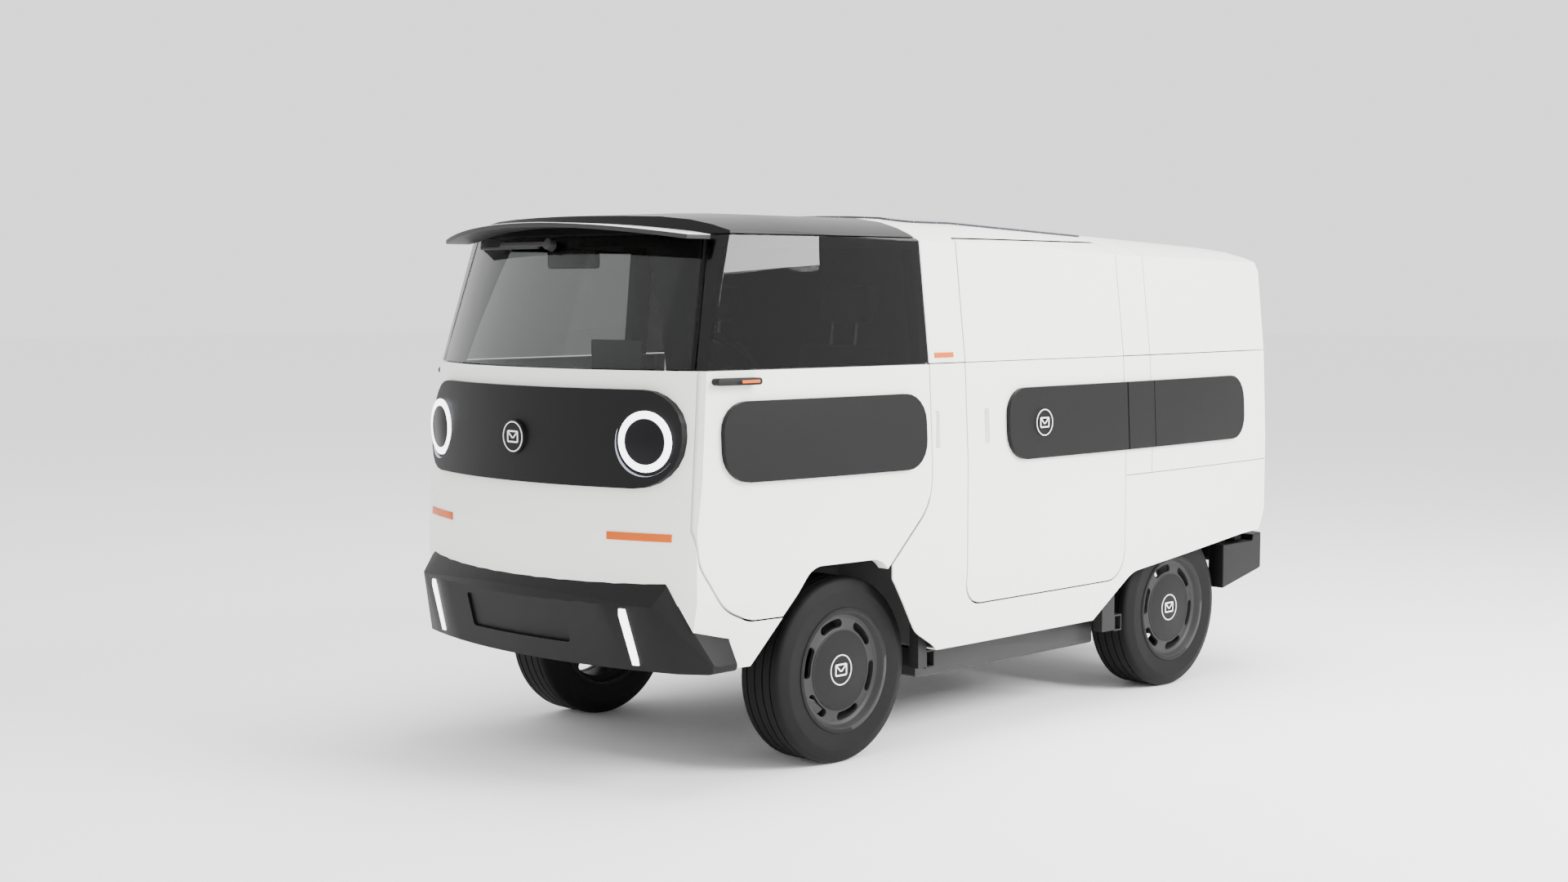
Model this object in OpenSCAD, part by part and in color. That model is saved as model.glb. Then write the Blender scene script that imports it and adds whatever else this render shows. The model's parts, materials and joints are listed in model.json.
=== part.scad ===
// Compact electric delivery van with a cab over the front axle and a boxy load bay.
// The nose points along -Y, the driver's left is +X and the tyres stand on Z = 0.

/* [Overall] */
// Length over the bumpers
overall_l = 3645; // [3640:1:3655]
// Width over the body skin
body_w = 1630; // [1610:1:1640]
// Distance from the front of the bumper to the front axle
front_overhang = 900; // [895:1:905]
// Distance between the axles
wheelbase = 2010; // [2000:1:2020]

/* [Body shape] */
// Height of the seam under the windows
belt_z = 1381; // [1378:1:1386]
// Height of the highest point of the roof at its centre
roof_z = 1911; // [1905:1:1915]
// Height of the lower edge of the sill
sill_z = 350; // [340:1:360]
// Radius of the nose seen from above
nose_r = 1560; // [1500:10:1620]
// Lean of the windscreen
screen_lean = 18; // [17:0.5:19]
// Lean of the side windows
window_lean = 6.5; // [6:0.5:7]
// Thickness of the outer skin
skin_t = 6; // [5:0.5:7]
// Thickness of a door with its inner panel
door_t = 45; // [40:1:50]
// Gap between neighbouring panels
shut_gap = 6; // [5:0.5:7]

/* [Wheels] */
// Radius of the tyre
tyre_r = 325; // [320:1:330]
// Width of the tyre
tyre_w = 205; // [195:1:210]
// Radius of the rim where the tyre starts
rim_r = 212; // [208:1:216]
// Distance from the centre plane to the middle of the tyre
half_track = 622; // [616:1:628]
// Radius of the flat centre cap
cap_r = 137; // [130:1:140]
// Radius of the wheel spindle
spindle_r = 20; // [18:1:22]

/* [Pads and lamps] */
// Height of the middle of the pads
pad_z = 1147; // [1140:1:1155]
// Height of the side pads
pad_h = 266; // [250:1:280]
// Distance that the pads stand out
pad_t = 18; // [14:1:20]
// Half length of the nose mask
mask_half = 665; // [650:1:670]
// Height of the nose mask
mask_h = 320; // [310:1:330]
// Distance from the centre plane to a ring lamp
lamp_x = 545; // [535:1:550]

/* [Hidden] */
$fn = 64;

// Stations along the body
nose_end = -overall_l / 2;
tail_end = overall_l / 2;
front_axle = nose_end + front_overhang;
rear_axle_y = front_axle + wheelbase;
half_w = body_w / 2;

// Nose of the body behind the bumper, and how it leans back above the widest height
nose_y = front_axle - 874;
nose_belt_y = front_axle - 816;
nose_lean = 6.2;
nose_lean_z = 850;

// Sides: straight in the middle, drawn in with large radii towards both ends
side_front_start = front_axle + 600;
side_front_r = 8670;
side_rear_start = front_axle + 1200;
side_rear_r = 18000;
belt_half = half_w - 17;
belt_lean = 2.7;
sill_half = half_w - 2;
sill_lean = -7;
sill_crease_z = 600;

// Tail
tail_y = tail_end - 8;
tail_r = 3500;
tail_round = 240;

// Door outlines as [station, height, corner radius]
door_front_top = front_axle - 656;
door_back = front_axle + 360;
door_outline = [
    [door_front_top, belt_z, 0],
    [door_front_top - 48, 870, 60],
    [front_axle - 688, 750, 120],
    [front_axle - 590, 600, 160],
    [front_axle - 480, 553, 120],
    [front_axle + 22, 553, 0],
    [door_back, 893, 200],
    [door_back, belt_z, 0]
];
screen_top_y = front_axle - 541;
window_top_z = 1822;
load_front = front_axle + 555;
load_back = front_axle + 1537;
load_top_z = 1826;
load_outline = [
    [load_front, 500, 90],
    [load_back, 500, 90],
    [load_back, load_top_z, 20],
    [load_front, load_top_z, 20]
];
seam_y = front_axle + 1725;

// Wheel openings as [station, height, corner radius]
front_arch = [
    [front_axle - 620, 200, 0],
    [front_axle - 215, 708, 90],
    [front_axle + 110, 708, 90],
    [front_axle + 300, 430, 120],
    [front_axle + 440, sill_z, 120],
    [front_axle + 480, 200, 0]
];
rear_arch = [
    [rear_axle_y - 780, 200, 0],
    [rear_axle_y - 640, sill_z, 120],
    [rear_axle_y - 400, 520, 160],
    [rear_axle_y + 440, 600, 0],
    [tail_end + 200, 620, 0],
    [tail_end + 200, 200, 0]
];

// Tailgate opening
gate_half = 600;
gate_bottom_z = 640;
gate_top_z = 1665;

// Hinge pins of the tailgate
hinge_r = 5;
hinge_h = 42;
gate_pin_x = 400;
gate_pin = [tail_y - 60, gate_top_z - 32];

// Steering and suspension
kingpin_x = 570;
steer_wheel_centre = [360, front_axle - 235, 1360];
column_lean = 40;
rack_y = front_axle + 150;
rack_z = 352;

// Seats
seat_x = 360;
seat_y = front_axle + 120;
seat_z = 880;
bulkhead_y = front_axle + 610;

// ---------- helpers ----------

function unit(v) = v / norm(v);

// Arc that rounds corner b between a and c
function corner_arc(a, b, c, r, steps = 6) =
    r == 0 ? [b] :
    let (
        u = unit(a - b),
        v = unit(c - b),
        half = acos(u * v) / 2,
        centre = b + unit(u + v) * r / sin(half),
        start = unit(b + u * r / tan(half) - centre),
        stop = unit(b + v * r / tan(half) - centre),
        sweep = acos(start * stop)
    )
    [for (i = [0:steps])
        centre + r * (start * sin((1 - i / steps) * sweep) + stop * sin(i / steps * sweep))
            / sin(sweep)];

function flat(p) = [p[0], p[1]];

function rounded(points) =
    let (n = len(points))
    [for (i = [0:n - 1])
        each corner_arc(flat(points[(i + n - 1) % n]), flat(points[i]),
            flat(points[(i + 1) % n]), points[i][2])];

// Outline given along Y and Z, pushed along X
module across(x0, x1) {
    translate([x0, 0, 0])
        rotate([90, 0, 90])
            linear_extrude(x1 - x0)
                children();
}

// Outline given along X and Z, pushed along Y
module along(y0, y1) {
    translate([0, y1, 0])
        rotate([90, 0, 0])
            linear_extrude(y1 - y0)
                children();
}

module block(low, high) {
    translate(low)
        cube(high - low);
}

module both_sides() {
    children();
    mirror([1, 0, 0])
        children();
}

// side is 1 on the left and -1 on the right
module on_side(side) {
    mirror([side < 0 ? 1 : 0, 0, 0])
        children();
}

module rounded_box(low, high, r) {
    across(low[0], high[0])
        polygon(rounded([
            [low[1], low[2], r], [high[1], low[2], r],
            [high[1], high[2], r], [low[1], high[2], r]
        ]));
}

module rod(a, b, r) {
    d = b - a;
    translate(a)
        rotate([0, acos(d[2] / norm(d)), atan2(d[1], d[0])])
            cylinder(h = norm(d), r = r);
}

// ---------- the outer form of the body ----------

function side_drop(y) =
    y < side_front_start ? pow(y - side_front_start, 2) / (2 * side_front_r) :
    y > side_rear_start ? pow(y - side_rear_start, 2) / (2 * side_rear_r) : 0;

// Everything inside one leaning side wall; each curved end is made of flat lengths
module side_wall(wall_x, z, lean, inset, lengths) {
    first = nose_end - 60;
    last = tail_end + 60;
    straight_from = side_front_start + 4 * lengths;
    straight_to = side_rear_start - 4 * lengths;
    stations = concat(
        [for (i = [0:lengths]) first + i * (straight_from - first) / lengths],
        [for (i = [0:lengths]) straight_to + i * (last - straight_to) / lengths]
    );
    translate([wall_x, 0, z])
        rotate([0, -lean, 0])
            translate([0, 0, -1400])
                linear_extrude(2800)
                    polygon(concat(
                        [[-2600, first]],
                        [for (y = stations) [-side_drop(y) - inset, y]],
                        [[-2600, last]]
                    ));
}

module side_walls(wall_x, z, lean, inset, lengths) {
    intersection() {
        side_wall(wall_x, z, lean, inset, lengths);
        mirror([1, 0, 0])
            side_wall(wall_x, z, lean, inset, lengths);
    }
}

// Everything behind one leaning nose wall, with the given number of flats on each half
module nose_wall(wall_y, z, lean, inset, flats, r = nose_r) {
    half = 880;
    translate([0, wall_y, z])
        rotate([-lean, 0, 0])
            translate([0, r, -3000])
                linear_extrude(6000)
                    polygon(concat(
                        [for (i = [-flats:flats]) let (x = i * half / flats)
                            [x, -sqrt(pow(r - inset, 2) - x * x)]],
                        [[half, 5000], [-half, 5000]]
                    ));
}

// Everything under one leaning length of roof; spread widens the spacing of its flats
module roof_wall(y, z, lean, inset, spread) {
    crown_r = 9000;
    edge = half_w - 50;
    drop = [for (x = spread * [0, 150, 300, 450, 560, 640, 700, edge, 880])
        [x, z - inset - x * x / (2 * crown_r) - 75 * pow(max(0, x - 380) / (edge - 380), 2.6)]];
    translate([0, y, 0])
        rotate([-lean, 0, 0])
            translate([0, 4000, 0])
                rotate([90, 0, 0])
                    linear_extrude(8000)
                        polygon(concat(
                            [[-drop[8][0], 0], [drop[8][0], 0]],
                            [for (i = [8:-1:0]) drop[i]],
                            [for (i = [1:8]) [-drop[i][0], drop[i][1]]]
                        ));
}

// Everything inside the long side view: tail, its rounded top and the drawn-in bottom
module long_profile(inset) {
    round_y = tail_y - 40 - tail_round;
    round_z = 1600;
    across(-1000, 1000)
        polygon(concat(
            [
                [nose_end - 200, sill_z + inset],
                [tail_y - 170, sill_z + inset],
                [tail_y - 130 - inset, 600],
                [tail_y - 8 - inset, 850],
                [tail_y - inset, 980],
                [tail_y - 20 - inset, 1380]
            ],
            [for (a = [0:10:90])
                [round_y + (tail_round - inset) * cos(a), round_z + (tail_round - inset) * sin(a)]],
            [[nose_end - 200, 2300]]
        ));
}

module tail_wall(inset) {
    linear_extrude(2300)
        translate([0, tail_y - tail_r])
            union() {
                circle(r = tail_r - inset, $fn = 240);
                translate([-1000, -3200])
                    square([2000, 6500]);
            }
}

// The lower body between the sill and the belt
module lower_form(inset) {
    intersection() {
        nose_wall(nose_y, nose_lean_z, 0, inset, 8);
        nose_wall(nose_belt_y, belt_z, nose_lean, inset, 9);
        side_walls(half_w, 800, 0, inset, 5);
        side_walls(belt_half, belt_z, belt_lean, inset, 6);
        side_walls(sill_half, sill_crease_z, sill_lean, inset, 4);
        long_profile(inset);
        tail_wall(inset);
        block([-1000, nose_end - 100, sill_z], [1000, tail_end + 100, belt_z + 300]);
    }
}

// The upper body from the belt to the roof
module upper_form(inset) {
    intersection() {
        nose_wall(nose_belt_y, belt_z, screen_lean, inset, 11);
        side_walls(belt_half, belt_z, window_lean, inset, 7);
        roof_wall(front_axle - 200, roof_z, -2.7, inset, 0.96);
        roof_wall(front_axle, roof_z, 0, inset, 1);
        roof_wall(front_axle + 900, roof_z - 7, 2.44, inset, 1.04);
        long_profile(inset);
        tail_wall(inset);
        block([-1000, nose_end - 100, belt_z - 300], [1000, tail_end + 100, 2200]);
    }
}

module lower_shell(outer, inner) {
    difference() {
        lower_form(outer);
        lower_form(inner);
    }
}

module upper_shell_form(outer, inner) {
    difference() {
        upper_form(outer);
        upper_form(inner);
    }
}

module door_cut(grow = 0) {
    across(-1000, 1000)
        polygon([for (p = rounded(door_outline)) [p[0] + (p[0] < front_axle ? -grow : grow),
            p[1] - (p[1] < 900 ? grow : 0)]]);
}

module load_cut(grow = 0) {
    middle = (load_front + load_back) / 2;
    across(-1000, 1000)
        polygon([for (p = rounded(load_outline)) [p[0] + (p[0] < middle ? -grow : grow),
            p[1] + (p[1] < 1000 ? -grow : grow)]]);
}

module arches() {
    across(-1000, 1000)
        polygon(rounded(front_arch));
    across(-1000, 1000)
        polygon(rounded(rear_arch));
}

module gate_cut(grow = 0) {
    half = gate_half + grow;
    along(tail_end - 500, tail_end + 200)
        polygon(rounded([
            [-half, gate_bottom_z - grow, 60], [half, gate_bottom_z - grow, 60],
            [half, gate_top_z + grow, 60], [-half, gate_top_z + grow, 60]
        ]));
}

module pad_outline(y0, y1, r) {
    across(0, 1000)
        polygon(rounded([
            [y0, pad_z - pad_h / 2, r], [y1, pad_z - pad_h / 2, r],
            [y1, pad_z + pad_h / 2, r], [y0, pad_z + pad_h / 2, r]
        ]));
}

// ---------- underbody ----------

rail_x = 250;
rail_w = 60;
wall_t = 6;

// Square tube that is open at both ends of its longest side
module tube(low, high) {
    size = high - low;
    long = max(size);
    inner = [for (i = [0:2]) size[i] == long ? -1 : wall_t];
    difference() {
        block(low, high);
        block(low + inner, high - inner);
    }
}

// Rails that rise over both axles, cross tubes, spring towers, body posts and tailgate pins
module chassis_frame() {
    front_rise = front_axle + 350;
    rear_rise = rear_axle_y - 390;
    color("dimgray")
        union() {
            both_sides() {
                tube([rail_x, front_axle - 640, 385], [rail_x + rail_w, front_rise + 60, 465]);
                tube([rail_x, front_rise, 250], [rail_x + rail_w, rear_rise + 60, 345]);
                tube([rail_x, rear_rise, 460], [rail_x + rail_w, tail_end - 200, 550]);
                block([rail_x, front_rise, 250], [rail_x + rail_w, front_rise + 60, 465]);
                block([rail_x, rear_rise, 250], [rail_x + rail_w, rear_rise + 60, 550]);
                for (y = [front_axle, rear_axle_y]) {
                    base = y > 0 ? 460 : 385;
                    block([rail_x + rail_w - 1, y - 30, base + 10], [350, y + 30, base + 50]);
                    tube([316, y - 30, base + 20], [350, y + 30, 706]);
                    block([316, y - 45, 691], [520, y + 45, 706]);
                }
                tube([540, front_axle - 640, 395], [582, front_axle - 595, belt_z - 2]);
                tube([700, door_back + 8, 285], [742, door_back + 52, belt_z - 2]);
                tube([700, load_back - 50, 285], [742, load_back + 32, belt_z - 2]);
                tube([640, tail_y - 210, 560], [690, tail_y - 160, 1640]);
                translate([gate_pin_x, gate_pin[0], gate_pin[1]])
                    rotate([0, 90, 0])
                        cylinder(h = 2 * hinge_h, r = hinge_r, center = true);
                block([gate_pin_x - 15, gate_pin[0] - 70, gate_pin[1] - 7],
                    [gate_pin_x + 15, gate_pin[0] + 2, gate_pin[1] + 7]);
                block([-690, tail_y - 210, 1600], [690, tail_y - 130, 1650]);
            }
            tube([-650, front_axle - 640, 395], [650, front_axle - 590, 455]);
            tube([-742, front_rise + 60, 280], [742, front_rise + 110, 345]);
            tube([-742, rear_rise - 52, 280], [742, rear_rise - 2, 345]);
            tube([-655, tail_end - 250, 480], [655, tail_end - 200, 570]);
        }
}

module battery_pack() {
    y0 = front_axle + 470;
    y1 = rear_axle_y - 450;
    color("silver")
        union() {
            for (side = [-1, 1])
                rounded_box([side > 0 ? 330 : -640, y0, 225], [side > 0 ? 640 : -330, y1, 340], 12);
            rounded_box([-240, y0, 225], [240, y1, 340], 12);
        }
}

// Load floor, cab floor, wheel housings and the two seat boxes
module floor_pan() {
    base_z = 358;
    house_z = 740;
    sheet_t = 20;
    step_y = front_axle + 414;
    rear_wall_y = rear_axle_y - 440;
    color("darkgray")
        difference() {
            union() {
                block([-698, step_y, base_z], [698, rear_wall_y, base_z + 24]);
                block([-312, front_axle - 500, 470], [312, step_y, 490]);
                block([-530, front_axle - 740, 470], [530, front_axle - 500, 490]);
                block([-246, step_y - sheet_t, base_z], [246, step_y, 490]);
                block([-698, rear_wall_y, base_z], [698, rear_wall_y + sheet_t, 730]);
                block([-698, rear_wall_y, 710], [698, tail_y - 212, 730]);
                both_sides() {
                    block([300, front_axle - 500, house_z], [690, step_y + sheet_t, house_z + sheet_t]);
                    block([312, step_y, base_z], [698, step_y + sheet_t, house_z + sheet_t]);
                    block([300, front_axle - 500, 470], [312, step_y + sheet_t, house_z + sheet_t]);
                    block([300, front_axle - 512, 470], [680, front_axle - 500, house_z + sheet_t]);
                    block([seat_x - 190, seat_y - 190, house_z], [seat_x + 190, seat_y + 170, 800]);
                }
            }
            both_sides()
                block([seat_x - 170, seat_y - 170, house_z - 10], [seat_x + 170, seat_y + 150, 790]);
        }
}

// ---------- cab structure ----------

// Pillars either side of the windscreen, the roof rails and the pillars behind the doors
module cab_frame() {
    t0 = skin_t + 2;
    t1 = skin_t + 46;
    color([0.06, 0.06, 0.06]) {
        rod([0, front_axle - 604, 1786], [0, front_axle - 652, 1802], 8);
        difference() {
            intersection() {
                upper_shell_form(t0, t1);
                union() {
                    intersection() {
                        side_walls(belt_half, belt_z, window_lean, 50, 7);
                        across(-1000, 1000)
                            polygon([
                                [door_front_top - 10, belt_z - 40], [door_front_top + 45, belt_z - 40],
                                [screen_top_y + 60, 1860], [screen_top_y - 30, 1860]
                            ]);
                    }
                    across(-1000, 1000)
                        polygon([
                            [door_back - 40, belt_z], [door_back + 45, belt_z],
                            [door_back + 45, 1860], [door_back - 40, 1860]
                        ]);
                    intersection() {
                        side_walls(belt_half, belt_z, window_lean, 50, 7);
                        block([-1000, nose_end, window_top_z - 40], [1000, screen_top_y + 100, 1835]);
                    }
                    block([-1000, screen_top_y + 100, window_top_z - 40], [1000, door_back + 45, 1835]);
                }
                block([-1000, nose_end, belt_z], [1000, tail_end, 1850]);
            }
            block([-480, screen_top_y + 120, belt_z], [480, door_back - 40, 1900]);
        }
    }
}

module bulkhead() {
    color([0.16, 0.16, 0.17])
        intersection() {
            union() {
                intersection() {
                    lower_form(door_t + 7);
                    block([-1000, nose_end, 386], [1000, tail_end, belt_z]);
                }
                intersection() {
                    upper_form(door_t + 7);
                    block([-1000, nose_end, belt_z], [1000, tail_end, 1880]);
                }
            }
            block([-1000, bulkhead_y, 386], [1000, bulkhead_y + 18, 1880]);
        }
}

// ---------- outer panels ----------

module front_panel() {
    color("ivory")
        difference() {
            intersection() {
                lower_shell(0, skin_t);
                block([-1000, nose_end - 100, 400], [1000, front_axle - 300, belt_z - 2]);
            }
            along(nose_end - 100, front_axle - 558)
                polygon([
                    [-777, 390], [777, 390], [777, 402], [bumper_seam_x + 2, bumper_seam_z],
                    [-bumper_seam_x - 2, bumper_seam_z], [-777, 402]
                ]);
            door_cut(shut_gap / 2);
            across(-1000, 1000)
                polygon(rounded(front_arch));
            across(-1000, 1000)
                polygon([
                    [door_front_top + 3, belt_z + 10], [door_front_top - 20, 1100],
                    [front_axle, 1100], [front_axle, belt_z + 10]
                ]);
        }
}

module side_panel(side) {
    color("ivory")
        on_side(side)
            difference() {
                union() {
                    intersection() {
                        lower_shell(0, skin_t);
                        block([gate_half + 4, front_axle - 100, sill_z + 1],
                            [1000, tail_end, belt_z - 2]);
                    }
                    block([half_w - 30, door_back + 12, pad_z - 72],
                        [half_w - 12, door_back + 52, pad_z + 72]);
                }
                door_cut(shut_gap / 2);
                load_cut(shut_gap / 2);
                arches();
                block([500, front_axle - 400, 500], [1000, door_back - 200, belt_z]);
                rounded_box([half_w - 22, door_back + 18, pad_z - 66],
                    [half_w + 20, door_back + 46, pad_z + 66], 7);
            }
}

module upper_shell() {
    color("ivory")
        difference() {
            intersection() {
                upper_shell_form(0, skin_t);
                block([-1000, door_back + shut_gap / 2, belt_z + 2], [1000, tail_end + 100, 2200]);
            }
            load_cut(shut_gap / 2);
            gate_cut(shut_gap / 2);
        }
}

module rear_panel() {
    color("ivory")
        difference() {
            intersection() {
                lower_shell(0, skin_t);
                block([-gate_half, tail_end - 260, 560], [gate_half, tail_end + 100, gate_bottom_z + 100]);
            }
            gate_cut(shut_gap / 2);
        }
}

module cab_roof() {
    color([0.05, 0.05, 0.05])
        intersection() {
            upper_shell_form(0, skin_t);
            block([-1000, nose_end, window_top_z + 4], [1000, door_back - shut_gap / 2, 2200]);
        }
}

module solar_panel() {
    color([0.03, 0.03, 0.05])
        intersection() {
            upper_shell_form(-8, -0.2);
            rounded_plate(560, front_axle + 480, front_axle + 1620, 90);
        }
}

module rounded_plate(half, y0, y1, r) {
    translate([0, 0, 1700])
        linear_extrude(400)
            polygon(rounded([[-half, y0, r], [half, y0, r], [half, y1, r], [-half, y1, r]]));
}

module windscreen() {
    color([0.15, 0.15, 0.16, 0.6])
        difference() {
            intersection() {
                upper_shell_form(0, skin_t);
                block([-1000, nose_end, belt_z + 2], [1000, front_axle, window_top_z]);
            }
            across(-1000, 1000)
                polygon([
                    [door_front_top - 6, belt_z], [screen_top_y - 6, window_top_z],
                    [front_axle + 100, window_top_z + 50], [front_axle + 100, belt_z - 10]
                ]);
        }
}

// Thin sun visor that arches over the windscreen
module visor() {
    tip = 640;
    front = front_axle - 820;
    back = front_axle - 560;
    sag = 46;
    top = [for (i = [-8:8]) [i * tip / 8, 1868 - sag * pow(i / 8, 2)]];
    color("gainsboro")
        intersection() {
            along(front - 20, back)
                polygon(concat(top, [for (i = [8:-1:-8]) [i * tip / 8, 1852 - sag * pow(i / 8, 2)]]));
            translate([0, front + nose_r * 0.9, 1700])
                cylinder(h = 400, r = nose_r * 0.9, $fn = 240);
            difference() {
                block([-1000, front - 50, 1700], [1000, back, 2000]);
                upper_form(-0.5);
            }
        }
}

// ---------- pads, lamps and bumpers ----------

module mask_outline(half, height, y0, y1) {
    r = height / 2 - 12;
    along(y0, y1)
        polygon(rounded([
            [-half, pad_z + 11 - height / 2, r], [half, pad_z + 11 - height / 2, r],
            [half, pad_z + 11 + height / 2, r], [-half, pad_z + 11 + height / 2, r]
        ]));
}

lamp_turn = 17;
lamp_floor_y = front_axle - 763;
mask_t = 22;

// Puts its children on the axis of each ring lamp, with -Z pointing out of the lamp
module at_lamps(face_y) {
    both_sides()
        translate([lamp_x, face_y, pad_z + 4])
            rotate([0, 0, lamp_turn])
                rotate([-90, 0, 0])
                    children();
}

module front_mask() {
    color([0.13, 0.13, 0.13])
        union() {
            difference() {
                intersection() {
                    lower_shell(-mask_t, -0.2);
                    mask_outline(mask_half, mask_h, nose_end - 100, front_axle - 500);
                }
                at_lamps(lamp_floor_y)
                    translate([0, 0, -60])
                        cylinder(h = 60, r = 113);
            }
            translate([0, nose_belt_y - 44, pad_z])
                rotate([90, 0, 0])
                    cylinder(h = 14, r = 58);
        }
}

module front_lamps() {
    color("white")
        union() {
            at_lamps(lamp_floor_y - 0.3)
                translate([0, 0, -7])
                    difference() {
                        cylinder(h = 7, r = 100);
                        translate([0, 0, -1])
                            cylinder(h = 9, r = 75.5);
                    }
            at_lamps(lamp_floor_y - 0.3)
                translate([0, 0, -9])
                    cylinder(h = 9, r = 75);
            bumper_lamps(24, 8);
        }
}

module signal_lamps() {
    color("orange")
        union() {
            intersection() {
                lower_shell(-4, -0.2);
                both_sides()
                    block([415, nose_end - 50, 828], [640, front_axle - 600, 854]);
            }
            intersection() {
                upper_shell_form(-4, -0.2);
                both_sides()
                    block([700, door_back + 30, belt_z + 20], [900, door_back + 130, belt_z + 38]);
            }
        }
}

bumper_seam_z = 622;
bumper_seam_x = 657.6;

// Slim upright lamps near the ends of the bumper, following its lean
module bumper_lamps(w, depth) {
    both_sides()
        hull() {
            for (p = [[505, -833, 598], [516, -782, 429]])
                translate([p[0], front_axle + p[1] - 1, p[2]])
                    rotate([0, 0, 14])
                        cube([w, depth, w - 2], center = true);
        }
}

// Space behind the bumper face, which has a chamfer above and leans back below
module bumper_form(inset) {
    face_r = 2080;
    corner = [600, nose_end + 86.5, 640];
    difference() {
        intersection() {
            nose_wall(nose_end, 620, 0, inset, 8, face_r);
            nose_wall(nose_end + 4, 600, -14.5, inset, 9, face_r);
            nose_wall(nose_end - 1, 646, 38, inset, 11, face_r);
        }
        both_sides() {
            translate(corner)
                rotate([0, 75.3, -31.7])
                    block([-900, -900, -inset], [900, 900, 600]);
            translate(corner)
                rotate([0, 97, -53.9])
                    block([-900, -900, -inset], [900, 900, 600]);
        }
    }
}

// Front bumper with closed ends and a plate recess
module front_bumper() {
    color([0.2, 0.2, 0.2])
        difference() {
            intersection() {
                bumper_form(0);
                along(nose_end - 100, front_axle - 560)
                    polygon(rounded([
                        [-775, 400, 20], [775, 400, 20], [610, 712, 60], [-610, 712, 60]
                    ]));
                lower_form(-60);
            }
            intersection() {
                bumper_form(26);
                block([-690, nose_end, 300], [690, front_axle - 500, bumper_seam_z]);
            }
            intersection() {
                lower_form(-0.3);
                block([-900, nose_end, bumper_seam_z - 1], [900, front_axle - 500, 800]);
            }
            difference() {
                along(nose_end - 100, nose_end + 120)
                    polygon(rounded([
                        [-260, 472, 12], [260, 472, 12], [260, 592, 12], [-260, 592, 12]
                    ]));
                bumper_form(10);
            }
            bumper_lamps(25, 16);
        }
}

module rear_bumper() {
    color([0.2, 0.2, 0.2])
        difference() {
            intersection() {
                translate([0, tail_end - tail_r, 340])
                    cylinder(h = 260, r = tail_r, $fn = 240);
                across(-1000, 1000)
                    polygon([
                        [rear_axle_y + 360, 560], [rear_axle_y + 360, 370], [tail_end - 90, 430],
                        [tail_end + 10, 480], [tail_end + 10, 566], [tail_end - 50, 590]
                    ]);
                block([-735, rear_axle_y, 300], [735, tail_end, 600]);
            }
            block([-660, rear_axle_y, 300], [660, tail_end - 75, 566]);
            intersection() {
                lower_form(-0.3);
                block([-1000, rear_axle_y, 556], [1000, tail_end, 700]);
            }
        }
}

// Fixed lengths of the long side pads, behind the load doors
module tail_pads() {
    color([0.16, 0.16, 0.16])
        both_sides()
            difference() {
                intersection() {
                    lower_shell(-pad_t, -0.2);
                    pad_outline(load_back - 300, front_axle + 2440, 100);
                    block([500, load_back + shut_gap / 2, 900], [1000, tail_end, 1400]);
                }
                block([500, seam_y - 1.5, 900], [1000, seam_y + 1.5, 1400]);
            }
}

// ---------- cab interior ----------

module dashboard() {
    color([0.12, 0.12, 0.12])
        union() {
            intersection() {
                lower_form(skin_t + 24);
                difference() {
                    across(-534, 534)
                        polygon(rounded([
                            [front_axle - 900, 1360, 0], [front_axle - 540, 1350, 60],
                            [front_axle - 470, 1230, 50], [front_axle - 520, 1090, 60],
                            [front_axle - 700, 1060, 0], [front_axle - 900, 1060, 0]
                        ]));
                    block([-540, nose_end, 1090], [540, front_axle - 640, 1310]);
                }
            }
            rod(steer_wheel_centre + [0, -60 * cos(column_lean), -60 * sin(column_lean)],
                steer_wheel_centre + [0, -240 * cos(column_lean), -240 * sin(column_lean)], 38);
            block([40, front_axle - 560, 1352], [300, front_axle - 548, 1470]);
        }
}

// Steering wheel with its hub and shaft; Z of the local frame runs up the shaft
module steering_wheel() {
    color([0.08, 0.08, 0.08])
        translate(steer_wheel_centre)
            rotate([column_lean - 90, 0, 0])
                union() {
                    rotate_extrude()
                        translate([178, 0])
                            circle(r = 14, $fn = 32);
                    translate([0, 0, -30])
                        cylinder(h = 34, r = 48);
                    for (a = [0, 180, 270])
                        rotate([0, 0, a])
                            translate([30, -18, -16])
                                cube([142, 36, 14]);
                    translate([0, 0, -56])
                        cylinder(h = 30, r = 16);
                }
}

module steering_rack() {
    color("silver")
        union() {
            translate([-300, rack_y, rack_z])
                rotate([0, 90, 0])
                    cylinder(h = 600, r = 14);
            translate([-480, rack_y, rack_z])
                rotate([0, 90, 0])
                    cylinder(h = 960, r = 9);
        }
}

module seat(side) {
    color([0.13, 0.13, 0.14])
        translate([side * seat_x, seat_y, 0])
            union() {
                rounded_box([-215, -230, seat_z - 55], [215, 200, seat_z + 55], 45);
                translate([0, 185, seat_z + 20])
                    rotate([-8, 0, 0]) {
                        rounded_box([-205, -50, 20], [205, 55, 560], 45);
                        rounded_box([-125, -45, 620], [125, 45, 770], 35);
                        for (x = [-60, 60])
                            translate([x, 0, 550])
                                cylinder(h = 80, r = 7);
                    }
                for (x = [-150, 150])
                    block([x - 15, -180, 802.5], [x + 15, 160, seat_z - 50]);
            }
}

// Wiper parked under the visor; its pivot leans with the glass and turns out to one side
module wiper() {
    color([0.05, 0.05, 0.05])
        translate([0, front_axle - 690, 1790])
            rotate([-screen_lean, 0, -6])
                union() {
                    rotate([90, 0, 0])
                        cylinder(h = 30, r = 20);
                    block([-300, -27, -8], [0, -20, 8]);
                    block([-430, -24, -14], [-60, -14, -6]);
                }
}

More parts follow.
